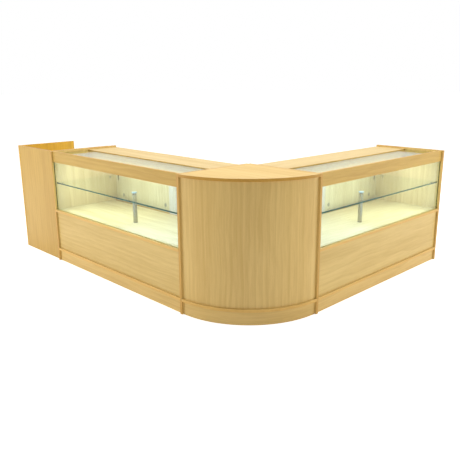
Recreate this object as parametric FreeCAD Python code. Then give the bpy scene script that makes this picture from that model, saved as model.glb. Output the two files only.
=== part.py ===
"""L-shaped shop counter: a till block, two glass display counters and a quadrant corner unit.

Millimetres, +Z up. The origin is on the floor under the middle of the counter's bounding box.
The long run (till and left display) lies along X with its front facing -Y.
The short run (right display) lies along Y with its front facing +X.
"""

import FreeCAD, Part

import math
import os

# Whole counter
HEIGHT = 900.0
DEPTH = 600.0
DISPLAY_LENGTH = 1600.0
BOARD = 18.0
FRONT_RECESS = 12.0  # fronts, fascias and plinths sit this far behind the board edges
GLIDE_HEIGHT = 3.0
GLIDE_RADIUS = 9.0
GLIDE_INSET = 40.0

# Heights shared by the display counters and the corner unit
BASE_BOTTOM = 90.0
BASE_TOP = BASE_BOTTOM + BOARD
DECK_BOTTOM = 412.0
DECK_TOP = DECK_BOTTOM + BOARD
FASCIA_BOTTOM = 815.0
WORKTOP_BOTTOM = 868.0
WORKTOP_TOP = WORKTOP_BOTTOM + BOARD

# Display counter, front to back
DECK_DEPTH = 550.0
WORKTOP_FRONT = 330.0
RAIL_HEIGHT = 60.0
RAIL_OVERLAP = 9.0  # how far the rail reaches under the top glass and under the worktop
REAR_PLINTH_FRONT = 560.0

# Glass
PANE = 6.0
PANE_GAP = 0.5
TOP_GLASS_BOTTOM = WORKTOP_BOTTOM + 7.0
GROOVE_FRONT = 15.0
DECK_GROOVE = 6.0
FASCIA_GROOVE = 8.0
SHELF_GLASS = 10.0
SHELF_TOP = 651.0
SHELF_BOTTOM = SHELF_TOP - SHELF_GLASS
SHELF_FRONT = 28.0
SHELF_BACK = 545.0
SHELF_END_GAP = 2.0

# Shelf post: a tube with a plug pressed into each end, and a cap whose stem passes through the glass
POST_ALONG = 775.0
POST_BACK = 212.0
POST_RADIUS = 16.0
POST_WALL = 1.5
PLUG_LENGTH = 12.0
PLUG_RIM = 2.0
PLUG_FIT = 0.05
CAP_RADIUS = 19.0
CAP_HEIGHT = 5.0
STEM_RADIUS = 4.0
STEM_FIT = 0.05
STEM_DEPTH = 10.0
SHELF_HOLE_RADIUS = 5.0

# Shelf pins: a pin in the end panel with a tab under the glass
PIN_RADIUS = 2.5
PIN_DEPTH = 8.0
PIN_FIT = 0.05
PIN_DROP = 10.0
PIN_PLACES = (75.0, 520.0)
TAB_WIDTH = 12.0
TAB_DROP = 16.0
TAB_REACH = 14.0
TAB_METAL = 2.0

# Sliding doors and their tracks
DOOR = 15.0
DOOR_LENGTH = 800.0
DOOR_CLEARANCE = 0.5
TRACK_FRONT = 559.5
TRACK_WALL = 2.0
TRACK_BOTTOM_HEIGHT = 8.0
TRACK_TOP_HEIGHT = 16.0
DOOR_TOP_GAP = 7.0  # room to lift a door clear of the bottom track
CHANNEL = DOOR + 2 * DOOR_CLEARANCE
INNER_DOOR_FRONT = TRACK_FRONT + TRACK_WALL + DOOR_CLEARANCE
OUTER_DOOR_FRONT = INNER_DOOR_FRONT + DOOR + 2 * DOOR_CLEARANCE + TRACK_WALL
DOOR_BOTTOM = BASE_TOP + TRACK_WALL + DOOR_CLEARANCE
DOOR_TOP = WORKTOP_BOTTOM - TRACK_WALL - DOOR_TOP_GAP
PULL_RADIUS = 15.0
PULL_FLANGE_RADIUS = 18.0
PULL_FLANGE = 1.0
PULL_WALL = 1.2
PULL_FIT = 0.05
PULL_INSET = 110.0
PULL_HEIGHT = (DOOR_BOTTOM + DOOR_TOP) / 2

# Lock of each outer door: a case let into the door's inner face, and a barrel through to the back
LOCK_INSET = 36.0
LOCK_BOTTOM = 603.0
LOCK_TOP = 647.0
LOCK_WIDTH = 22.0
LOCK_CASE = 9.0
LOCK_BARREL_RADIUS = 9.0
LOCK_ROSE_RADIUS = 12.0
LOCK_ROSE = 1.0
LOCK_FIT = 0.05
KEYWAY_WIDTH = 1.6
KEYWAY_HEIGHT = 9.0
KEYWAY_DEPTH = 5.0

# Corner unit
CURVED_BOARD = 9.0
CURVE_OUTER = DEPTH - FRONT_RECESS
CURVE_INNER = CURVE_OUTER - CURVED_BOARD
CORNER_TOP_BOTTOM = HEIGHT - BOARD
FORMER_BOTTOM = 470.0
FORMER_GAP = 0.3
BATTEN = 25.0

# Till block
TILL_LENGTH = 600.0
TILL_FRONT = 12.0
TILL_PANEL_FRONT = 14.0
TILL_BACK = 532.0
TILL_WORKTOP_TOP = 760.0
TILL_SHELF_BOTTOM = 400.0
TILL_SHELF_BACK = 512.0

# Bolts that join neighbouring units through their two touching panels
BOLT_RADIUS = 3.9
BOLT_HOLE_RADIUS = 4.0
BOLT_HEAD_RADIUS = 8.0
BOLT_HEAD = 1.5
BOLT_HEIGHTS = (190.0, 340.0)
BOLT_PLACES = (110.0, 440.0)

# Plan position of the corner unit's back corner, with the bounding box centred on the origin
CORNER_X = (DISPLAY_LENGTH + TILL_LENGTH - DEPTH) / 2
CORNER_Y = -(DISPLAY_LENGTH - DEPTH) / 2

UP = FreeCAD.Vector(0, 0, 1)


class Run:
    """A straight run of counter. u goes along it, away from the corner unit; v from front to back."""

    def __init__(self, start, along, back):
        self.start = FreeCAD.Vector(*start)
        self.along = FreeCAD.Vector(*along)
        self.back = FreeCAD.Vector(*back)

    def point(self, u, v, z):
        return self.start + self.along * u + self.back * v + UP * z

    def box(self, u_span, v_span, z_span):
        a = self.point(u_span[0], v_span[0], z_span[0])
        b = self.point(u_span[1], v_span[1], z_span[1])
        low = FreeCAD.Vector(min(a.x, b.x), min(a.y, b.y), min(a.z, b.z))
        return Part.makeBox(abs(b.x - a.x), abs(b.y - a.y), abs(b.z - a.z), low)

    def rod_back(self, u, z, v_span, radius):
        """A cylinder along v."""
        return Part.makeCylinder(radius, v_span[1] - v_span[0], self.point(u, v_span[0], z), self.back)

    def rod_along(self, v, z, u_span, radius):
        """A cylinder along u."""
        return Part.makeCylinder(radius, u_span[1] - u_span[0], self.point(u_span[0], v, z), self.along)

    def upright_rod(self, u, v, z_span, radius):
        return Part.makeCylinder(radius, z_span[1] - z_span[0], self.point(u, v, z_span[0]), UP)


LEFT = Run((CORNER_X, CORNER_Y - DEPTH, 0), (-1, 0, 0), (0, 1, 0))
RIGHT = Run((CORNER_X + DEPTH, CORNER_Y, 0), (0, 1, 0), (-1, 0, 0))
RUNS = {"left": LEFT, "right": RIGHT}
INSIDE = (BOARD, DISPLAY_LENGTH - BOARD)
nodes = {}


def group(shapes):
    return Part.makeCompound(shapes)


def bolt_holes(run, u_span):
    """Holes for the joining bolts through an upright panel that spans u_span."""
    holes = []
    for v in BOLT_PLACES:
        for z in BOLT_HEIGHTS:
            holes.append(run.rod_along(v, z, u_span, BOLT_HOLE_RADIUS))
    return group(holes)


def pin_holes(run, u_span):
    """Blind holes for the shelf pins. u_span starts at the panel's inner face and runs into it."""
    height = SHELF_BOTTOM - PIN_DROP
    span = sorted(u_span)
    return group([run.rod_along(v, height, span, PIN_RADIUS + PIN_FIT) for v in PIN_PLACES])


def display_panels(side, run):
    """The boards of one display counter."""
    inner_span = (0.0, BOARD)
    outer_span = (DISPLAY_LENGTH - BOARD, DISPLAY_LENGTH)
    front = (FRONT_RECESS, FRONT_RECESS + BOARD)
    upright = (GLIDE_HEIGHT, HEIGHT)
    inner = run.box(inner_span, (0.0, DEPTH), upright)
    outer = run.box(outer_span, (0.0, DEPTH), upright)
    inner = inner.cut(pin_holes(run, (INSIDE[0], INSIDE[0] - PIN_DEPTH)))
    outer = outer.cut(pin_holes(run, (INSIDE[1], INSIDE[1] + PIN_DEPTH)))
    nodes[f"{side}_end_panel_inner"] = inner.cut(bolt_holes(run, inner_span))
    if side == "left":
        outer = outer.cut(bolt_holes(run, outer_span))
    nodes[f"{side}_end_panel_outer"] = outer
    nodes[f"{side}_base_board"] = run.box(INSIDE, (0.0, DEPTH), (BASE_BOTTOM, BASE_TOP))
    nodes[f"{side}_plinth"] = run.box(INSIDE, front, (GLIDE_HEIGHT, BASE_BOTTOM))
    nodes[f"{side}_lower_panel"] = run.box(INSIDE, front, (BASE_TOP, DECK_BOTTOM))
    groove = (GROOVE_FRONT, GROOVE_FRONT + PANE + 2 * PANE_GAP)
    deck = run.box(INSIDE, (0.0, DECK_DEPTH), (DECK_BOTTOM, DECK_TOP))
    deck_groove = run.box(INSIDE, groove, (DECK_TOP - DECK_GROOVE, DECK_TOP))
    nodes[f"{side}_deck"] = deck.cut(deck_groove)
    fascia = run.box(INSIDE, front, (FASCIA_BOTTOM, HEIGHT))
    fascia_groove = run.box(INSIDE, groove, (FASCIA_BOTTOM, FASCIA_BOTTOM + FASCIA_GROOVE))
    nodes[f"{side}_fascia"] = fascia.cut(fascia_groove)
    nodes[f"{side}_worktop"] = run.box(INSIDE, (WORKTOP_FRONT, DEPTH), (WORKTOP_BOTTOM, WORKTOP_TOP))


def display_glass(side, run):
    pane_front = GROOVE_FRONT + PANE_GAP
    pane_span = (BOARD + PANE_GAP, DISPLAY_LENGTH - BOARD - PANE_GAP)
    pane_heights = (DECK_TOP - DECK_GROOVE + PANE_GAP, FASCIA_BOTTOM + FASCIA_GROOVE - PANE_GAP)
    nodes[f"{side}_front_glass"] = run.box(pane_span, (pane_front, pane_front + PANE), pane_heights)
    top_depths = (FRONT_RECESS + BOARD + PANE_GAP, WORKTOP_FRONT - PANE_GAP)
    top_heights = (TOP_GLASS_BOTTOM, TOP_GLASS_BOTTOM + PANE)
    nodes[f"{side}_top_glass"] = run.box(pane_span, top_depths, top_heights)
    shelf_span = (BOARD + SHELF_END_GAP, DISPLAY_LENGTH - BOARD - SHELF_END_GAP)
    shelf_heights = (SHELF_BOTTOM, SHELF_TOP)
    shelf = run.box(shelf_span, (SHELF_FRONT, SHELF_BACK), shelf_heights)
    hole = run.upright_rod(POST_ALONG, POST_BACK, shelf_heights, SHELF_HOLE_RADIUS)
    nodes[f"{side}_glass_shelf"] = shelf.cut(hole)


def track_channel(run, z_base, z_lip):
    """A double channel along the run. Its flat back is at z_base, and its three ribs reach to z_lip."""
    back_far = z_base + math.copysign(TRACK_WALL, z_lip - z_base)
    width = 2 * CHANNEL + 3 * TRACK_WALL
    track = run.box(INSIDE, (TRACK_FRONT, TRACK_FRONT + width), sorted((z_base, back_far)))
    for rib in range(3):
        v = TRACK_FRONT + rib * (CHANNEL + TRACK_WALL)
        track = track.fuse(run.box(INSIDE, (v, v + TRACK_WALL), sorted((z_base, z_lip))))
    return track.removeSplitter()


def door_and_pulls(run, u_span, v_front):
    """A sliding door with two flush cup pulls that open to the back."""
    door = run.box(u_span, (v_front, v_front + DOOR), (DOOR_BOTTOM, DOOR_TOP))
    v_back = v_front + DOOR
    pulls = []
    for u in (u_span[0] + PULL_INSET, u_span[1] - PULL_INSET):
        door = door.cut(run.rod_back(u, PULL_HEIGHT, (v_front, v_back), PULL_RADIUS + PULL_FIT))
        cup = run.rod_back(u, PULL_HEIGHT, (v_front, v_back), PULL_RADIUS)
        flange = run.rod_back(u, PULL_HEIGHT, (v_back, v_back + PULL_FLANGE), PULL_FLANGE_RADIUS)
        bowl_span = (v_front + PULL_WALL, v_back + PULL_FLANGE)
        bowl = run.rod_back(u, PULL_HEIGHT, bowl_span, PULL_RADIUS - PULL_WALL)
        pulls.append(cup.fuse(flange).cut(bowl).removeSplitter())
    return door, group(pulls)


def door_lock(run, door, u, v_front):
    """A lock let into the outer door near its closing edge. Returns the cut door and the lock."""
    v_back = v_front + DOOR
    middle = (LOCK_BOTTOM + LOCK_TOP) / 2

    def lock_body(fit):
        half = LOCK_WIDTH / 2 + fit
        heights = (LOCK_BOTTOM - fit, LOCK_TOP + fit)
        case = run.box((u - half, u + half), (v_front, v_front + LOCK_CASE + fit), heights)
        barrel = run.rod_back(u, middle, (v_front, v_back), LOCK_BARREL_RADIUS + fit)
        return case.fuse(barrel)

    rose = run.rod_back(u, middle, (v_back, v_back + LOCK_ROSE), LOCK_ROSE_RADIUS)
    keyway = run.box(
        (u - KEYWAY_WIDTH / 2, u + KEYWAY_WIDTH / 2),
        (v_back + LOCK_ROSE - KEYWAY_DEPTH, v_back + LOCK_ROSE),
        (middle - KEYWAY_HEIGHT / 2, middle + KEYWAY_HEIGHT / 2),
    )
    lock = lock_body(0.0).fuse(rose).cut(keyway).removeSplitter()
    return door.cut(lock_body(LOCK_FIT)), lock


def display_doors(side, run):
    bottom_track = track_channel(run, BASE_TOP, BASE_TOP + TRACK_BOTTOM_HEIGHT)
    top_track = track_channel(run, WORKTOP_BOTTOM, WORKTOP_BOTTOM - TRACK_TOP_HEIGHT)
    nodes[f"{side}_door_tracks"] = group([bottom_track, top_track])
    far_span = (INSIDE[1] - DOOR_CLEARANCE - DOOR_LENGTH, INSIDE[1] - DOOR_CLEARANCE)
    near_span = (INSIDE[0] + DOOR_CLEARANCE, INSIDE[0] + DOOR_CLEARANCE + DOOR_LENGTH)
    outer, outer_pulls = door_and_pulls(run, far_span, OUTER_DOOR_FRONT)
    outer, outer_lock = door_lock(run, outer, far_span[1] - LOCK_INSET, OUTER_DOOR_FRONT)
    inner, inner_pulls = door_and_pulls(run, near_span, INNER_DOOR_FRONT)
    nodes[f"{side}_outer_door"] = outer
    nodes[f"{side}_outer_door_pulls"] = outer_pulls
    nodes[f"{side}_outer_door_lock"] = outer_lock
    nodes[f"{side}_inner_door"] = inner
    nodes[f"{side}_inner_door_pulls"] = inner_pulls


def glass_battens(run):
    """The front batten and the two end battens that the top glass lies on."""
    heights = (TOP_GLASS_BOTTOM - BOARD, TOP_GLASS_BOTTOM)
    front_v = FRONT_RECESS + BOARD
    battens = [run.box(INSIDE, (front_v, front_v + BOARD), heights)]
    end_depths = (front_v + BOARD, WORKTOP_FRONT - RAIL_OVERLAP)
    for u in (INSIDE[0], INSIDE[1] - BOARD):
        battens.append(run.box((u, u + BOARD), end_depths, heights))
    return battens


def shelf_pin(run, u_face, inward, v):
    """A pin in an end panel's inner face, with a web against the panel and a tab under the glass."""
    depths = (v - TAB_WIDTH / 2, v + TAB_WIDTH / 2)
    web_span = sorted((u_face, u_face + inward * TAB_METAL))
    tab_span = sorted((u_face, u_face + inward * TAB_REACH))
    pin_span = sorted((u_face - inward * PIN_DEPTH, u_face + inward * TAB_METAL))
    web = run.box(web_span, depths, (SHELF_BOTTOM - TAB_DROP, SHELF_BOTTOM))
    tab = run.box(tab_span, depths, (SHELF_BOTTOM - TAB_METAL, SHELF_BOTTOM))
    pin = run.rod_along(v, SHELF_BOTTOM - PIN_DROP, pin_span, PIN_RADIUS)
    return web.fuse([tab, pin]).removeSplitter()


def shelf_post(run):
    """The tube under the glass shelf, its two end plugs and the cap that holds the glass down."""

    def rod(z_span, radius):
        return run.upright_rod(POST_ALONG, POST_BACK, z_span, radius)

    bore_radius = POST_RADIUS - POST_WALL
    tube_span = (DECK_TOP + PLUG_RIM, SHELF_BOTTOM - PLUG_RIM)
    tube = rod(tube_span, POST_RADIUS).cut(rod(tube_span, bore_radius))
    foot = rod((DECK_TOP, tube_span[0]), POST_RADIUS)
    foot = foot.fuse(rod((tube_span[0], tube_span[0] + PLUG_LENGTH), bore_radius - PLUG_FIT))
    head = rod((tube_span[1], SHELF_BOTTOM), POST_RADIUS)
    head = head.fuse(rod((tube_span[1] - PLUG_LENGTH, tube_span[1]), bore_radius - PLUG_FIT))
    head = head.cut(rod((SHELF_BOTTOM - STEM_DEPTH, SHELF_BOTTOM), STEM_RADIUS + STEM_FIT))
    cap = rod((SHELF_TOP, SHELF_TOP + CAP_HEIGHT), CAP_RADIUS)
    cap = cap.fuse(rod((SHELF_BOTTOM - STEM_DEPTH, SHELF_TOP), STEM_RADIUS))
    return tube, [foot.removeSplitter(), head.removeSplitter()], cap.removeSplitter()


def worktop_rail(run):
    """The rail under the worktop's front edge, with a lip in front of it that the top glass lies on."""
    depths = (WORKTOP_FRONT - RAIL_OVERLAP, WORKTOP_FRONT + RAIL_OVERLAP)
    rail = run.box(INSIDE, depths, (WORKTOP_BOTTOM - RAIL_HEIGHT, WORKTOP_BOTTOM))
    lip_depths = (depths[0], WORKTOP_FRONT - PANE_GAP)
    lip = run.box(INSIDE, lip_depths, (WORKTOP_BOTTOM, TOP_GLASS_BOTTOM))
    return rail.fuse(lip).removeSplitter()


def display_hardware():
    """Small pieces that both display counters have."""
    rails, battens, plinths = [], [], []
    tubes, plugs, caps, pins = [], [], [], []
    for run in RUNS.values():
        rails.append(worktop_rail(run))
        battens += glass_battens(run)
        plinth_depths = (REAR_PLINTH_FRONT, REAR_PLINTH_FRONT + BOARD)
        plinths.append(run.box(INSIDE, plinth_depths, (GLIDE_HEIGHT, BASE_BOTTOM)))
        tube, post_plugs, cap = shelf_post(run)
        tubes.append(tube)
        plugs += post_plugs
        caps.append(cap)
        for v in PIN_PLACES:
            pins.append(shelf_pin(run, INSIDE[0], 1, v))
            pins.append(shelf_pin(run, INSIDE[1], -1, v))
    nodes["worktop_rails"] = group(rails)
    nodes["glass_battens"] = group(battens)
    nodes["rear_plinths"] = group(plinths)
    nodes["shelf_post_tubes"] = group(tubes)
    nodes["shelf_post_plugs"] = group(plugs)
    nodes["shelf_post_caps"] = group(caps)
    nodes["shelf_pins"] = group(pins)


def quadrant(radius, inset, z_span, inner_radius=0.0):
    """A quarter disc, or quarter ring, about the back corner. inset keeps it off both of its flat sides."""
    height = z_span[1] - z_span[0]
    centre = FreeCAD.Vector(CORNER_X, CORNER_Y, z_span[0])
    disc = Part.makeCylinder(radius, height, centre, UP)
    if inner_radius:
        disc = disc.cut(Part.makeCylinder(inner_radius, height, centre, UP))
    low = FreeCAD.Vector(CORNER_X + inset, CORNER_Y - radius, z_span[0])
    return disc.common(Part.makeBox(radius, radius - inset, height, low))


def corner_unit():
    upright = (GLIDE_HEIGHT, CORNER_TOP_BOTTOM)
    beside_left = (-BOARD, 0.0)
    side_front = DEPTH - math.sqrt(CURVE_INNER**2 - BOARD**2)
    left_side = LEFT.box(beside_left, (side_front, DEPTH), upright)
    right_side = RIGHT.box(beside_left, (side_front, DEPTH - BOARD), upright)
    nodes["corner_side_left"] = left_side.cut(bolt_holes(LEFT, beside_left))
    nodes["corner_side_right"] = right_side.cut(bolt_holes(RIGHT, beside_left))
    nodes["corner_top"] = quadrant(DEPTH, 0.0, (CORNER_TOP_BOTTOM, HEIGHT))
    nodes["corner_base_board"] = quadrant(DEPTH, 0.0, (BASE_BOTTOM, BASE_TOP)).cut([left_side, right_side])
    panel_heights = (BASE_TOP, CORNER_TOP_BOTTOM)
    nodes["corner_curved_panel"] = quadrant(CURVE_OUTER, 0.0, panel_heights, CURVE_INNER)
    nodes["corner_plinth"] = quadrant(CURVE_OUTER, 0.0, (GLIDE_HEIGHT, BASE_BOTTOM), CURVE_INNER)
    former = quadrant(CURVE_INNER - FORMER_GAP, BOARD, (FORMER_BOTTOM, FORMER_BOTTOM + BOARD))
    batten_reach = math.sqrt(CURVE_INNER**2 - (BOARD + BATTEN) ** 2)
    depths = (DEPTH - batten_reach, DEPTH - batten_reach + BATTEN)
    battens = []
    for run in (LEFT, RIGHT):
        beside_panel = (-BOARD - BATTEN, -BOARD)
        battens.append(run.box(beside_panel, depths, (BASE_TOP, FORMER_BOTTOM)))
        battens.append(run.box(beside_panel, depths, (FORMER_BOTTOM + BOARD, CORNER_TOP_BOTTOM)))
    nodes["corner_former"] = former
    nodes["corner_battens"] = group(battens)


def till_block():
    start = DISPLAY_LENGTH
    end = DISPLAY_LENGTH + TILL_LENGTH
    upright = (GLIDE_HEIGHT, HEIGHT)
    depths = (TILL_FRONT, TILL_BACK)
    inner_span = (start, start + BOARD)
    inside = (start + BOARD, end - BOARD)
    behind_panel = TILL_PANEL_FRONT + BOARD
    inner = LEFT.box(inner_span, depths, upright)
    nodes["till_end_panel_inner"] = inner.cut(bolt_holes(LEFT, inner_span))
    nodes["till_end_panel_outer"] = LEFT.box((end - BOARD, end), depths, upright)
    nodes["till_front_panel"] = LEFT.box(inside, (TILL_PANEL_FRONT, behind_panel), upright)
    worktop_heights = (TILL_WORKTOP_TOP - BOARD, TILL_WORKTOP_TOP)
    nodes["till_worktop"] = LEFT.box(inside, (behind_panel, TILL_BACK), worktop_heights)
    shelf_heights = (TILL_SHELF_BOTTOM, TILL_SHELF_BOTTOM + BOARD)
    nodes["till_shelf"] = LEFT.box(inside, (behind_panel, TILL_SHELF_BACK), shelf_heights)
    nodes["till_base_board"] = LEFT.box(inside, (behind_panel, TILL_BACK), (BASE_BOTTOM, BASE_TOP))
    plinth_depths = (TILL_SHELF_BACK - BOARD, TILL_SHELF_BACK)
    nodes["till_rear_plinth"] = LEFT.box(inside, plinth_depths, (GLIDE_HEIGHT, BASE_BOTTOM))


def floor_glides():
    """Two glides under each upright panel that has the weight of a unit on it."""
    places = []
    display_depths = (GLIDE_INSET, DEPTH - GLIDE_INSET)
    till_depths = (TILL_FRONT + GLIDE_INSET, TILL_BACK - GLIDE_INSET)
    for run in RUNS.values():
        for u in (-BOARD / 2, BOARD / 2, DISPLAY_LENGTH - BOARD / 2):
            places += [(run, u, v) for v in display_depths]
    for u in (DISPLAY_LENGTH + BOARD / 2, DISPLAY_LENGTH + TILL_LENGTH - BOARD / 2):
        places += [(LEFT, u, v) for v in till_depths]
    glide_heights = (0.0, GLIDE_HEIGHT)
    return group([run.upright_rod(u, v, glide_heights, GLIDE_RADIUS) for run, u, v in places])


def joining_bolts():
    """Flat-headed connector bolts through each pair of touching panels."""
    bolts = []
    for run, joint in ((LEFT, 0.0), (RIGHT, 0.0), (LEFT, DISPLAY_LENGTH)):
        ends = (joint - BOARD, joint + BOARD)
        for v in BOLT_PLACES:
            for z in BOLT_HEIGHTS:
                shank = run.rod_along(v, z, ends, BOLT_RADIUS)
                near_head = run.rod_along(v, z, (ends[0] - BOLT_HEAD, ends[0]), BOLT_HEAD_RADIUS)
                far_head = run.rod_along(v, z, (ends[1], ends[1] + BOLT_HEAD), BOLT_HEAD_RADIUS)
                bolts.append(shank.fuse([near_head, far_head]).removeSplitter())
    return group(bolts)


def build():
    for side, run in RUNS.items():
        display_panels(side, run)
        display_glass(side, run)
        display_doors(side, run)
    display_hardware()
    corner_unit()
    till_block()
    nodes["floor_glides"] = floor_glides()
    nodes["joining_bolts"] = joining_bolts()


def export():
    os.makedirs("parts", exist_ok=True)
    for name, shape in sorted(nodes.items()):
        solids = shape.Solids
        assert solids and all(s.isValid() and s.Volume > 0 for s in solids), name
        shape.exportStep(f"parts/{name}.step")
    print(len(nodes), "nodes written")


build()
export()
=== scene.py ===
"""Looks for the L-shaped shop counter: maple-effect boards, glass, chrome, studio light and camera."""

import itertools
import math

import bpy
from mathutils import Matrix, Vector


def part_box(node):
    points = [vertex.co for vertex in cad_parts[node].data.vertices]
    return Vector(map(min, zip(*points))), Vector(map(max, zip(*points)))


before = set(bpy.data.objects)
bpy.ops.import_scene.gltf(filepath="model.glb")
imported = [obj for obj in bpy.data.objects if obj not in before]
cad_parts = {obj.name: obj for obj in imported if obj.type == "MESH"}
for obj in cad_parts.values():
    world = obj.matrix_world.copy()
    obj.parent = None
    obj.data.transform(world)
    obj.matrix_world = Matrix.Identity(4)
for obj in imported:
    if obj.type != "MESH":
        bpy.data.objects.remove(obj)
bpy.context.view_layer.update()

# The two display runs: the left one faces -Y and the right one faces +X
SIDES = ("left", "right")
LONG_AXIS = {"left": "X", "right": "Y"}
PANE_AXIS = {"left": "Y", "right": "X"}
FORWARDS = {"left": (0.0, -1.0, 0.0), "right": (1.0, 0.0, 0.0)}
TO_CORNER = {"left": (1.0, 0.0, 0.0), "right": (0.0, -1.0, 0.0)}
CORNER_CENTRE = (0.8, -0.5, 0.0)
CORNER_RADIUS = 0.6

# Maple print, linear colours
MAPLE_LIGHT = (0.690, 0.480, 0.165, 1.0)
MAPLE_DARK = (0.560, 0.365, 0.105, 1.0)
MAPLE_FLECK = (0.420, 0.250, 0.070, 1.0)
BAND_LIGHT = (0.690, 0.425, 0.105, 1.0)
BAND_DARK = (0.590, 0.350, 0.080, 1.0)
FLECK_SHARE = 0.35

# Painted light and shade: how the colour of a board differs from the plain maple, lighter, darker or paler
# as the light falls on each board
PLAIN = (1.0, 1.0, 1.0)
PAINTED_LIGHT_TINTS = {
    "fascia": (0.82, 0.755, 0.43),
    "lower_panel": (0.94, 0.97, 0.97),
    "worktop": (0.97, 1.03, 1.22),
    "corner_top": (1.00, 0.97, 0.78),
    "till_front_panel": (0.81, 0.735, 0.45),
}
TOP_EDGE = (0.75, 0.66, 0.38)
TOP_EDGES = {"worktop": TOP_EDGE, "corner_top": TOP_EDGE}
UPRIGHT_EDGE = (0.82, 0.74, 0.55)
# Painted bounce light and shade: the deep orange of the face that looks over the till block's worktop
TILL_RECESS_PAINTED_BOUNCE = (0.98, 0.86, 0.17)

# Painted light inside the displays: how much paler a board is drawn inside a display, and the share of that
# its dark streaks get
INTERIOR_PAINTED_LIGHT_GAIN = (1.06, 1.38, 2.56)
INSIDE_PAINTED_LIGHT_GAINS = {
    "inner_door": (0.99, 1.42, 4.00),
    "outer_door": (1.06, 1.44, 3.00),
    "end_panel_outer": (1.07, 1.34, 2.32),
}
GRAIN_SHARE = (0.98, 0.98, 0.98)

# Glass
GLASS_TINT = (0.945, 0.975, 0.955, 1.0)
TOP_GLASS_TINT = (0.895, 0.950, 0.890, 1.0)
GLASS_EDGE = (0.001, 0.032, 0.014, 1.0)
GLASS_EDGE_PALE = (0.002, 0.056, 0.028, 1.0)
HEAD_ON_MIRROR = 0.012
GRAZING_MIRROR = 0.72

# Hardware
CHROME = (0.43, 0.42, 0.34, 1.0)
CAP_BLUE = (0.32, 0.47, 0.53, 1.0)
PLATED_STEEL = (0.10, 0.13, 0.16, 1.0)
PULL_GREY = (0.17, 0.22, 0.25, 1.0)
LOCK_GREY = (0.02, 0.024, 0.028, 1.0)
BLACK = (0.018, 0.018, 0.018, 1.0)
TRACK_BEIGE = (0.420, 0.270, 0.110, 1.0)
DRAWN_MARKS = (60.0, 60.0, 400.0)
FINE_MARKS = (300.0, 300.0, 300.0)

# Radius of the rounded edges, in metres
BOARD_ROUND = 0.0006
SMALL_ROUND = 0.0003
LOCK_ROUND = 0.0002
CAP_ROUND = 0.0008
GLIDE_ROUND = 0.0005

# Studio light, in watts and linear colours. The softboxes are placed from the corner's centre
SOFTBOX_PLACE = {"left": (-5.2, -4.6, 2.4), "right": (4.6, 5.2, 2.4)}
SOFTBOX_TARGET = {"left": (-1.2, -0.6, 0.4), "right": (0.6, 1.2, 0.4)}
SOFTBOX_SIZE = (3.2, 3.0)
SOFTBOX_POWER = 220.0
SOFTBOX_COLOUR = (1.0, 0.965, 0.86)
OVERHEAD_PLACE = (0.3, 0.0, 4.2)
OVERHEAD_TARGET = (0.3, -0.2, 0.0)
OVERHEAD_SIZE = (4.5, 4.5)
OVERHEAD_POWER = 185.0
WORLD_FILL = 0.36
WORLD_SEEN = 1.0
WORLD_MIRRORED = 0.88
FLOOR_REACH = 60.0
FLOOR_BOUNCE = 0.20
FLOOR_SEEN = 0.7

# Lamps inside each display. The shifts are towards the corner, from the middle of the display
FRONT_LAMP_SIZE = (0.68, 0.36)
FRONT_LAMP_GAP = 0.002
FRONT_LAMP_DROP = 0.010
FRONT_LAMPS = {
    "far": {"shift": -0.33, "power": 1.6, "colour": (1.0, 0.98, 0.80)},
    "near": {"shift": 0.42, "power": 1.3, "colour": (0.78, 1.0, 2.0)},
}
TOP_LAMP_SIZE = {"left": (1.30, 0.44), "right": (0.44, 1.30)}
TOP_LAMP_POWER = 3.6
TOP_LAMP_DROP = 0.030
TOP_LAMP_SHIFT = -0.06

# Camera
CAMERA_PLACE = (3.3728, -3.1591, 1.4319)
CAMERA_YAW = 45.14
CAMERA_PITCH = -14.68
CAMERA_ROLL = -0.15
CAMERA_LENS = 43.67
CAMERA_SHIFT = (-0.0174, -0.0061)


# Node helpers


def axis_vector(axis):
    direction = Vector((0.0, 0.0, 0.0))
    direction["XYZ".index(axis)] = 1.0
    return direction


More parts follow.
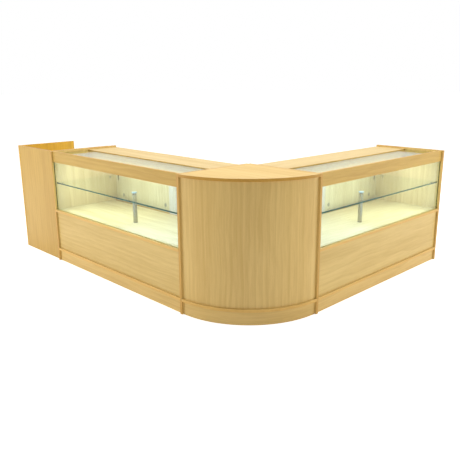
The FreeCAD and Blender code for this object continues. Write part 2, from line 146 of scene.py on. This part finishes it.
class Nodes:
    """A short way to write a node tree."""

    def __init__(self, tree):
        self.tree = tree

    def add(self, kind, **settings):
        node = self.tree.nodes.new(kind)
        for name, value in settings.items():
            setattr(node, name, value)
        return node

    def feed(self, socket, value):
        """Links value to socket if it is a socket, and otherwise sets it."""
        if isinstance(value, bpy.types.NodeSocket):
            self.tree.links.new(value, socket)
        else:
            socket.default_value = value

    def maths(self, operation, a, b=0.0, c=0.0):
        node = self.add("ShaderNodeMath", operation=operation)
        for socket, value in zip(node.inputs, (a, b, c)):
            self.feed(socket, value)
        return node.outputs[0]

    def vector(self, operation, a, b=(0.0, 0.0, 0.0)):
        node = self.add("ShaderNodeVectorMath", operation=operation)
        self.feed(node.inputs[0], a)
        self.feed(node.inputs[1], b)
        return node.outputs["Value" if operation == "DOT_PRODUCT" else "Vector"]

    def noise(self, vector, scale, detail=2.0, roughness=0.5):
        node = self.add("ShaderNodeTexNoise")
        self.feed(node.inputs["Vector"], vector)
        node.inputs["Scale"].default_value = scale
        node.inputs["Detail"].default_value = detail
        node.inputs["Roughness"].default_value = roughness
        return node.outputs["Fac"]

    def stretched_noise(self, vector, scales, detail=2.0, roughness=0.5):
        """Noise with its own scale along each axis."""
        return self.noise(self.vector("MULTIPLY", vector, scales), 1.0, detail, roughness)

    def mix(self, factor, a, b, blend="MIX"):
        node = self.add("ShaderNodeMix", data_type="RGBA", blend_type=blend)
        self.feed(node.inputs["Factor"], factor)
        self.feed(node.inputs[6], a)
        self.feed(node.inputs[7], b)
        return node.outputs[2]

    def tinted(self, colour, tint):
        return self.mix(1.0, colour, tint + (1.0,), "MULTIPLY")

    def ramp(self, value, low, high, start=0.0, end=1.0):
        """Maps value from low..high to start..end, smoothly and clamped."""
        node = self.add("ShaderNodeMapRange", interpolation_type="SMOOTHSTEP")
        for socket, number in zip(node.inputs, (value, low, high, start, end)):
            self.feed(socket, number)
        return node.outputs[0]

    def object_place(self):
        return self.add("ShaderNodeTexCoord").outputs["Object"]

    def face_normal(self):
        return self.add("ShaderNodeNewGeometry").outputs["True Normal"]

    def bump(self, height, strength, distance):
        node = self.add("ShaderNodeBump")
        node.inputs["Strength"].default_value = strength
        node.inputs["Distance"].default_value = distance
        self.feed(node.inputs["Height"], height)
        return node.outputs["Normal"]

    def principled(self, **inputs):
        node = self.add("ShaderNodeBsdfPrincipled")
        for name, value in inputs.items():
            self.feed(node.inputs[name.replace("_", " ")], value)
        return node

    def mix_shaders(self, factor, a, b):
        node = self.add("ShaderNodeMixShader")
        self.feed(node.inputs["Fac"], factor)
        self.feed(node.inputs[1], a)
        self.feed(node.inputs[2], b)
        return node.outputs[0]

    def output(self, shader):
        out = self.add("ShaderNodeOutputMaterial")
        self.tree.links.new(shader, out.inputs["Surface"])


def new_material(name):
    material = bpy.data.materials.new(name)
    material.use_nodes = True
    material.node_tree.nodes.clear()
    return material, Nodes(material.node_tree)


def on_broad_face(n, thin):
    """1 on the faces square to the axis of a board's or pane's thickness, and 0 on its edges."""
    across = n.vector("DOT_PRODUCT", n.face_normal(), axis_vector(thin))
    return n.ramp(n.maths("ABSOLUTE", across), 0.55, 0.85)


def box_mask(n, box):
    """1 inside a box given as its two corners, and 0 outside."""
    place = n.add("ShaderNodeSeparateXYZ")
    n.feed(place.inputs[0], n.object_place())
    mask = 1.0
    for axis in range(3):
        above = n.maths("GREATER_THAN", place.outputs[axis], box[0][axis])
        below = n.maths("LESS_THAN", place.outputs[axis], box[1][axis])
        mask = n.maths("MULTIPLY", n.maths("MULTIPLY", above, below), mask)
    return mask


# Maple


def warped_place(n, start):
    """Coordinates that wander a little across the grain, so that the streaks are not quite straight."""
    wander = n.add("ShaderNodeTexNoise")
    n.feed(wander.inputs["Vector"], n.vector("MULTIPLY", start, (5.0, 5.0, 2.4)))
    wander.inputs["Scale"].default_value = 1.0
    wander.inputs["Detail"].default_value = 1.0
    moved = n.vector("SUBTRACT", wander.outputs["Color"], (0.5, 0.5, 0.5))
    return n.vector("ADD", start, n.vector("MULTIPLY", moved, (0.036, 0.036, 0.0)))


def growth_rings(n, place):
    """Rings about an axis that runs nearly along the grain, outside the board."""
    rings = n.add("ShaderNodeTexWave", wave_type="RINGS", rings_direction="Z", wave_profile="SAW")
    drawn_out = n.vector("MULTIPLY", place, (1.0, 1.0, 0.10))
    n.feed(rings.inputs["Vector"], n.vector("ADD", drawn_out, (0.31, 0.23, 0.0)))
    rings.inputs["Scale"].default_value = 9.0
    rings.inputs["Distortion"].default_value = 2.2
    rings.inputs["Detail"].default_value = 2.0
    rings.inputs["Detail Scale"].default_value = 1.6
    return rings.outputs["Fac"]


def maple_group():
    """Maple print, with the grain along Z of its Vector.
    It gives how dark the print is, the flecks, and the height of the fibres."""
    tree = bpy.data.node_groups.new("maple_print", "ShaderNodeTree")
    tree.interface.new_socket(name="Vector", in_out="INPUT", socket_type="NodeSocketVector")
    for name in ("Dark", "Fleck", "Fibre"):
        tree.interface.new_socket(name=name, in_out="OUTPUT", socket_type="NodeSocketFloat")
    n = Nodes(tree)
    start = n.add("NodeGroupInput").outputs["Vector"]
    end = n.add("NodeGroupOutput")
    place = warped_place(n, start)
    rings = growth_rings(n, place)
    broad = n.stretched_noise(place, (7.0, 7.0, 0.8))
    streak = n.stretched_noise(place, (78.0, 78.0, 3.6), 4.0, 0.65)
    fibre = n.stretched_noise(place, (260.0, 260.0, 12.0), 3.0, 0.65)
    fleck = n.stretched_noise(place, (520.0, 520.0, 42.0), 1.0)
    grain = n.maths("MULTIPLY", rings, 0.22)
    grain = n.maths("MULTIPLY_ADD", n.ramp(broad, 0.30, 0.70), 0.26, grain)
    grain = n.maths("MULTIPLY_ADD", n.ramp(streak, 0.28, 0.72), 0.34, grain)
    grain = n.maths("MULTIPLY_ADD", fibre, 0.22, grain)
    tree.links.new(n.ramp(grain, 0.06, 0.96), end.inputs["Dark"])
    tree.links.new(n.ramp(fleck, 0.66, 0.78), end.inputs["Fleck"])
    tree.links.new(fibre, end.inputs["Fibre"])
    return tree


MAPLE_PRINT = maple_group()
GRAIN_TURNS = {
    "X": (0.0, math.pi / 2, 0.0),
    "Y": (math.pi / 2, 0.0, 0.0),
    "Z": (0.0, 0.0, 0.0),
    "ARC": (0.0, 0.0, 0.0),
}
SEED_SHIFT = (1.37, 0.71, 2.19)


def unrolled(n, place):
    """Coordinates unrolled about the corner unit's centre: out from it, up, and along the arc."""
    split = n.add("ShaderNodeSeparateXYZ")
    n.feed(split.inputs[0], n.vector("SUBTRACT", place, CORNER_CENTRE))
    x, y, z = split.outputs
    out = n.maths("SQRT", n.maths("ADD", n.maths("POWER", x, 2.0), n.maths("POWER", y, 2.0)))
    along = n.maths("MULTIPLY", n.maths("ARCTAN2", y, x), CORNER_RADIUS)
    joined = n.add("ShaderNodeCombineXYZ")
    for slot, value in zip(joined.inputs, (out, z, along)):
        n.feed(slot, value)
    return joined.outputs[0]


def grain_coordinates(n, grain, seed):
    """Object coordinates turned so that the grain runs along Z, and shifted so that no two boards match.
    grain is an axis, or ARC for a board that is bent round the corner."""
    place = n.object_place()
    if grain == "ARC":
        place = unrolled(n, place)
    mapping = n.add("ShaderNodeMapping", vector_type="POINT")
    n.feed(mapping.inputs["Vector"], place)
    mapping.inputs["Rotation"].default_value = GRAIN_TURNS[grain]
    mapping.inputs["Location"].default_value = [shift * seed for shift in SEED_SHIFT]
    return mapping.outputs["Vector"]


def paint_inside_light(n, colour, dark, box, gain, forwards):
    """The colour, made paler in the box as painted light. With forwards, only the faces that look that way
    are paler.
    """
    streak_gain = tuple(part * share for part, share in zip(gain, GRAIN_SHARE))
    whole_gain = n.mix(n.ramp(dark, 0.25, 0.75), gain + (1.0,), streak_gain + (1.0,))
    mask = box_mask(n, box)
    if forwards:
        facing = n.vector("DOT_PRODUCT", n.face_normal(), forwards)
        mask = n.maths("MULTIPLY", mask, n.ramp(facing, 0.4, 0.6))
    return n.mix(mask, colour, n.mix(1.0, colour, whole_gain, "MULTIPLY"))


def paint_recess_bounce_light(n, colour):
    """The colour, deeper on faces that look along +X over the till block's worktop: painted bounce light
    and shade in the recess.
    """
    facing = n.vector("DOT_PRODUCT", n.face_normal(), axis_vector("X"))
    mask = n.maths("MULTIPLY", n.ramp(facing, 0.55, 0.85), box_mask(n, till_recess()))
    return n.mix(mask, colour, n.tinted(colour, TILL_RECESS_PAINTED_BOUNCE))


def maple(name, grain, thin, seed, tint=PLAIN, band_tint=PLAIN, inside=None, recess=False):
    """Maple-effect board. thin is the axis of its thickness, and faces that look another way are edge
    banding. Without it there is no banding. tint is painted light and shade on the whole board. The
    argument after band_tint holds the box, gain and forwards of the painted light inside a display, and the
    last one adds painted bounce light and shade over the till block's worktop."""
    material, n = new_material(name)
    print_node = n.add("ShaderNodeGroup", node_tree=MAPLE_PRINT)
    n.feed(print_node.inputs["Vector"], grain_coordinates(n, grain, seed))
    dark = print_node.outputs["Dark"]
    colour = n.mix(dark, MAPLE_LIGHT, MAPLE_DARK)
    colour = n.mix(n.maths("MULTIPLY", print_node.outputs["Fleck"], FLECK_SHARE), colour, MAPLE_FLECK)
    if thin:
        band = n.tinted(n.mix(dark, BAND_LIGHT, BAND_DARK), band_tint)
        colour = n.mix(on_broad_face(n, thin), band, colour)
    if inside:
        colour = paint_inside_light(n, colour, dark, *inside)
    colour = n.tinted(colour, tint)
    if recess:
        colour = paint_recess_bounce_light(n, colour)
    shader = n.principled(
        Base_Color=colour,
        Roughness=n.maths("MULTIPLY_ADD", dark, 0.10, 0.36),
        Normal=n.bump(print_node.outputs["Fibre"], 0.10, 0.0004),
    )
    shader.inputs["Specular IOR Level"].default_value = 0.45
    n.output(shader.outputs[0])
    return material


# Glass, metal and plastic


def glass_pane(n, place, on_pane, tint):
    """See-through glass that mirrors at a slant, with faint smears."""
    clear = n.add("ShaderNodeBsdfTransparent")
    clear.inputs["Color"].default_value = tint
    mirror = n.add("ShaderNodeBsdfGlossy")
    mirror.inputs["Color"].default_value = (1.0, 1.0, 1.0, 1.0)
    n.feed(mirror.inputs["Roughness"], n.ramp(n.noise(place, 9.0, 3.0), 0.35, 0.75, 0.0, 0.05))
    slant = n.add("ShaderNodeLayerWeight")
    slant.inputs["Blend"].default_value = 0.5
    grazing = n.maths("POWER", slant.outputs["Facing"], 5.0)
    mirrored = n.maths("MULTIPLY_ADD", grazing, GRAZING_MIRROR, HEAD_ON_MIRROR)
    return n.mix_shaders(n.maths("MULTIPLY", mirrored, on_pane), clear.outputs[0], mirror.outputs[0])


def glass_edge(n, place):
    """A polished edge, dark green with paler streaks."""
    streak = n.stretched_noise(place, (30.0, 30.0, 30.0))
    colour = n.mix(n.ramp(streak, 0.3, 0.7), GLASS_EDGE, GLASS_EDGE_PALE)
    edge = n.principled(Base_Color=colour, Roughness=n.ramp(streak, 0.2, 0.8, 0.22, 0.38))
    edge.inputs["Specular IOR Level"].default_value = 0.12
    return edge.outputs[0]


def glass(name, thin, green_edge=None, tint=GLASS_TINT):
    """Float glass: see-through faces and green edges.
    With green_edge, a direction, the edges that don't face it are see-through too."""
    material, n = new_material(name)
    place = n.object_place()
    on_pane = on_broad_face(n, thin)
    if green_edge:
        geometry = n.add("ShaderNodeNewGeometry")
        facing = n.vector("DOT_PRODUCT", geometry.outputs["True Normal"], green_edge)
        outside = n.maths("SUBTRACT", 1.0, geometry.outputs["Backfacing"])
        solid = n.maths("MULTIPLY", facing, outside)
    else:
        solid = n.maths("SUBTRACT", 1.0, on_pane)
    pane = glass_pane(n, place, on_pane, tint)
    n.output(n.mix_shaders(n.ramp(solid, 0.15, 0.45), pane, glass_edge(n, place)))
    return material


def darker(colour, share):
    return tuple(share * part for part in colour[:3]) + (1.0,)


def metal(name, colour, roughness, spread, scale):
    """Plated metal whose roughness varies a little, with faint polishing marks."""
    material, n = new_material(name)
    marks = n.stretched_noise(n.object_place(), scale, 3.0)
    shader = n.principled(
        Base_Color=n.mix(n.ramp(marks, 0.3, 0.7), colour, darker(colour, 0.88)),
        Roughness=n.ramp(marks, 0.3, 0.7, roughness, roughness + spread),
        Normal=n.bump(marks, 0.06, 0.0002),
    )
    shader.inputs["Metallic"].default_value = 1.0
    n.output(shader.outputs[0])
    return material


def plastic(name, colour, roughness):
    """Moulded plastic with a fine spark-eroded surface."""
    material, n = new_material(name)
    place = n.object_place()
    pebble = n.noise(place, 900.0)
    shade = n.noise(place, 12.0)
    shader = n.principled(
        Base_Color=n.mix(n.ramp(shade, 0.3, 0.7), colour, darker(colour, 0.8)),
        Roughness=n.ramp(pebble, 0.3, 0.7, roughness, roughness + 0.15),
        Normal=n.bump(pebble, 0.15, 0.0003),
    )
    n.output(shader.outputs[0])
    return material


# Finishes on the CAD nodes


def finish_edges(obj, width):
    """Joins the split corners of an imported mesh and rounds its edges."""
    weld = obj.modifiers.new("weld", "WELD")
    weld.merge_threshold = 0.00002
    bevel = obj.modifiers.new("round", "BEVEL")
    bevel.width = width
    bevel.segments = 2
    bevel.limit_method = "ANGLE"
    bevel.angle_limit = math.radians(50)
    bevel.harden_normals = False
    smooth = obj.modifiers.new("normals", "WEIGHTED_NORMAL")
    smooth.keep_sharp = True
    smooth.weight = 80


def dress(node, material, width=BOARD_ROUND):
    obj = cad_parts[node]
    obj.data.materials.clear()
    obj.data.materials.append(material)
    finish_edges(obj, width)


def thin_axis(node):
    low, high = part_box(node)
    size = high - low
    return "XYZ"[min(range(3), key=lambda axis: size[axis])]


def display_interior(side, door=None):
    """The box of the display space: from the front glass back, and from the deck's face up to the worktop.
    It takes in both doors, or ends at the front face of the one that is named."""
    low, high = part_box(f"{side}_deck")
    pane_low, pane_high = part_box(f"{side}_front_glass")
    skin = 0.001
    past_doors = 0.060
    low_corner = Vector((low.x - skin, low.y - skin, high.z - skin))
    high_corner = Vector((high.x + skin, high.y + skin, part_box(f"{side}_worktop")[0].z))
    if side == "left":
        low_corner.y = pane_high.y
        high_corner.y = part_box(f"{side}_{door}_door")[0].y if door else high.y + past_doors
    else:
        high_corner.x = pane_low.x
        low_corner.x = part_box(f"{side}_{door}_door")[1].x if door else low.x - past_doors
    return low_corner, high_corner


def till_recess():
    """The box of the space over the till block's worktop."""
    low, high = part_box("till_worktop")
    return Vector((low.x - 0.01, low.y - 0.1, high.z)), Vector((high.x, high.y + 0.1, high.z + 0.3))


def dress_level_board(node, grain, seed, part=None, inside=None):
    """A board whose grain is level. part names its painted light and shade tint and its edge, and is the
    node's name if left out.
    """
    part = part or node
    tint = PAINTED_LIGHT_TINTS.get(part, PLAIN)
    edge = TOP_EDGES.get(part, PLAIN)
    dress(node, maple(f"maple_{node}", grain, thin_axis(node), seed, tint, edge, inside))


def dress_upright_board(node, seed, inside=None):
    """A board whose grain is upright."""
    # The tint is painted light and shade on the whole board
    tint = PAINTED_LIGHT_TINTS.get(node, PLAIN)
    dress(node, maple(f"maple_{node}", "Z", thin_axis(node), seed, tint, UPRIGHT_EDGE, inside))


def dress_display_boards(side, seeds):
    # The deck, the end panels and the doors get painted light inside the display
    for part in ("base_board", "plinth", "lower_panel", "fascia", "worktop", "deck"):
        inside = (display_interior(side), INTERIOR_PAINTED_LIGHT_GAIN, None) if part == "deck" else None
        dress_level_board(f"{side}_{part}", LONG_AXIS[side], next(seeds), part, inside)
    for door in ("inner", "outer"):
        gain = INSIDE_PAINTED_LIGHT_GAINS.get(f"end_panel_{door}", INTERIOR_PAINTED_LIGHT_GAIN)
        inside = (display_interior(side, door), gain, None)
        dress_upright_board(f"{side}_end_panel_{door}", next(seeds), inside)
    for door in ("outer", "inner"):
        inside = (display_interior(side), INSIDE_PAINTED_LIGHT_GAINS[f"{door}_door"], FORWARDS[side])
        dress_upright_board(f"{side}_{door}_door", next(seeds), inside)


def dress_boards():
    seeds = itertools.count(1)
    for side in SIDES:
        dress_display_boards(side, seeds)
    for node in ("corner_side_left", "corner_side_right", "till_end_panel_inner", "till_front_panel"):
        dress_upright_board(node, next(seeds))
    # The till's outer end panel gets painted bounce light and shade over the till block's worktop
    dress("till_end_panel_outer", maple("maple_till_end_panel_outer", "Z", "X", next(seeds), recess=True))
    for node in ("corner_top", "corner_base_board", "till_worktop", "till_shelf", "till_base_board",
                 "till_rear_plinth", "corner_former"):
        dress_level_board(node, "X", next(seeds))
    dress("corner_curved_panel", maple("maple_corner_curved_panel", "Z", None, next(seeds)))
    dress("corner_plinth", maple("maple_corner_plinth", "ARC", None, next(seeds)))
    hidden = ("worktop_rails", "glass_battens", "rear_plinths", "corner_battens")
    for node, seed in zip(hidden, itertools.count(35, 3)):
        grain = "Z" if node == "corner_battens" else "X"
        dress(node, maple(f"maple_{node}", grain, None, seed))


def dress_hardware():
    chrome = metal("chrome", CHROME, 0.14, 0.10, DRAWN_MARKS)
    cap = plastic("cap_satin", CAP_BLUE, 0.30)
    steel = metal("plated_steel", PLATED_STEEL, 0.22, 0.12, FINE_MARKS)
    pull = metal("pull_satin", PULL_GREY, 0.45, 0.10, FINE_MARKS)
    lock = metal("lock_dark", LOCK_GREY, 0.35, 0.10, FINE_MARKS)
    black = plastic("black_plastic", BLACK, 0.45)
    track = plastic("track_plastic", TRACK_BEIGE, 0.40)
    for side in SIDES:
        forwards = FORWARDS[side]
        dress(f"{side}_door_tracks", track, SMALL_ROUND)
        dress(f"{side}_outer_door_pulls", pull, SMALL_ROUND)
        dress(f"{side}_inner_door_pulls", pull, SMALL_ROUND)
        dress(f"{side}_outer_door_lock", lock, LOCK_ROUND)
        dress(f"{side}_front_glass", glass(f"glass_{side}_front", PANE_AXIS[side]))
        dress(f"{side}_top_glass", glass(f"glass_{side}_top", "Z", forwards, TOP_GLASS_TINT))
        dress(f"{side}_glass_shelf", glass(f"glass_{side}_shelf", "Z", forwards))
    dress("shelf_post_tubes", chrome, SMALL_ROUND)
    dress("shelf_post_caps", cap, CAP_ROUND)
    dress("shelf_post_plugs", black, SMALL_ROUND)
    dress("shelf_pins", steel, SMALL_ROUND)
    dress("joining_bolts", steel, SMALL_ROUND)
    dress("floor_glides", black, GLIDE_ROUND)


# Studio


def area_light(name, place, target, size, power, colour=(1.0, 1.0, 1.0)):
    data = bpy.data.lights.new(name, "AREA")
    data.shape = "RECTANGLE"
    data.size, data.size_y = size
    data.energy = power
    data.color = colour
    light = bpy.data.objects.new(name, data)
    bpy.context.scene.collection.objects.link(light)
    light.location = place
    light.rotation_euler = (Vector(target) - Vector(place)).to_track_quat("-Z", "Y").to_euler()
    return light


def softboxes():
    """One softbox turned to each run, and one overhead."""
    corner = Vector(CORNER_CENTRE)
    for side in SIDES:
        place = corner + Vector(SOFTBOX_PLACE[side])
        target = corner + Vector(SOFTBOX_TARGET[side])
        area_light(f"softbox_{side}", place, target, SOFTBOX_SIZE, SOFTBOX_POWER, SOFTBOX_COLOUR)
    area_light("overhead", OVERHEAD_PLACE, OVERHEAD_TARGET, OVERHEAD_SIZE, OVERHEAD_POWER)


def hidden_lamp(name, place, direction, size, power, colour=(1.0, 1.0, 1.0)):
    """A lamp that lights the boards but is not seen, either directly or in the glass."""
    lamp = area_light(name, place, place + direction, size, power, colour)
    lamp.visible_camera = False
    lamp.visible_glossy = False


def display_lights(side):
    """Two soft lamps just behind the front glass, facing in, and a wide one just under the worktop's level.
    At the front, the lamp at the far end is warm and the one by the corner is cool."""
    low, high = display_interior(side)
    middle = (low + high) / 2
    front = middle.copy()
    front.z -= FRONT_LAMP_DROP
    if side == "left":
        front.y = low.y + FRONT_LAMP_GAP
    else:
        front.x = high.x - FRONT_LAMP_GAP
    to_corner = Vector(TO_CORNER[side])
    inwards = -Vector(FORWARDS[side])
    for end, lamp in FRONT_LAMPS.items():
        place = front + lamp["shift"] * to_corner
        name = f"display_lamp_{side}_{end}"
        hidden_lamp(name, place, inwards, FRONT_LAMP_SIZE, lamp["power"], lamp["colour"])
    top = middle + TOP_LAMP_SHIFT * to_corner
    top.z = high.z - TOP_LAMP_DROP
    hidden_lamp(f"display_lamp_{side}_top", top, -axis_vector("Z"), TOP_LAMP_SIZE[side], TOP_LAMP_POWER)


def white_world():
    """An even white surround, weaker as a light than it looks to the camera and in the glass."""
    world = bpy.data.worlds.new("studio")
    bpy.context.scene.world = world
    world.use_nodes = True
    world.node_tree.nodes.clear()
    n = Nodes(world.node_tree)
    rays = n.add("ShaderNodeLightPath")
    strength = n.ramp(rays.outputs["Is Glossy Ray"], 0.0, 1.0, WORLD_FILL, WORLD_MIRRORED)
    seen = n.maths("MULTIPLY", rays.outputs["Is Camera Ray"], WORLD_SEEN)
    background = n.add("ShaderNodeBackground")
    background.inputs["Color"].default_value = (1.0, 1.0, 1.0, 1.0)
    n.feed(background.inputs["Strength"], n.maths("MAXIMUM", strength, seen))
    out = n.add("ShaderNodeOutputWorld")
    n.feed(out.inputs["Surface"], background.outputs[0])


def floor():
    """A plain pale floor that glows a little, more to the camera than as a light."""
    mesh = bpy.data.meshes.new("studio_floor")
    reach = FLOOR_REACH
    corners = [(-reach, -reach, 0), (reach, -reach, 0), (reach, reach, 0), (-reach, reach, 0)]
    mesh.from_pydata(corners, [], [(0, 1, 2, 3)])
    obj = bpy.data.objects.new("studio_floor", mesh)
    bpy.context.scene.collection.objects.link(obj)
    material, n = new_material("pale_floor")
    mottle = n.noise(n.object_place(), 3.0, 3.0)
    colour = n.mix(mottle, (0.90, 0.90, 0.90, 1.0), (0.93, 0.93, 0.93, 1.0))
    shader = n.principled(Base_Color=colour, Roughness=0.8)
    shader.inputs["Emission Color"].default_value = (1.0, 1.0, 1.0, 1.0)
    seen = n.add("ShaderNodeLightPath").outputs["Is Camera Ray"]
    n.feed(shader.inputs["Emission Strength"], n.ramp(seen, 0.0, 1.0, FLOOR_BOUNCE, FLOOR_SEEN))
    n.output(shader.outputs[0])
    mesh.materials.append(material)


def camera():
    """The viewing angle: from well above the counter's top, looking at the corner along its diagonal."""
    data = bpy.data.cameras.new("camera")
    data.sensor_width = 36.0
    data.lens = CAMERA_LENS
    data.shift_x, data.shift_y = CAMERA_SHIFT
    data.clip_end = 200.0
    obj = bpy.data.objects.new("camera", data)
    bpy.context.scene.collection.objects.link(obj)
    obj.location = CAMERA_PLACE
    yaw = Matrix.Rotation(math.radians(CAMERA_YAW), 4, "Z")
    pitch = Matrix.Rotation(math.pi / 2 + math.radians(CAMERA_PITCH), 4, "X")
    roll = Matrix.Rotation(math.radians(CAMERA_ROLL), 4, "Z")
    obj.rotation_euler = (yaw @ pitch @ roll).to_euler()
    bpy.context.scene.camera = obj


camera()
dress_boards()
dress_hardware()
softboxes()
for run_side in SIDES:
    display_lights(run_side)
white_world()
floor()
bpy.context.scene.view_settings.view_transform = "Standard"
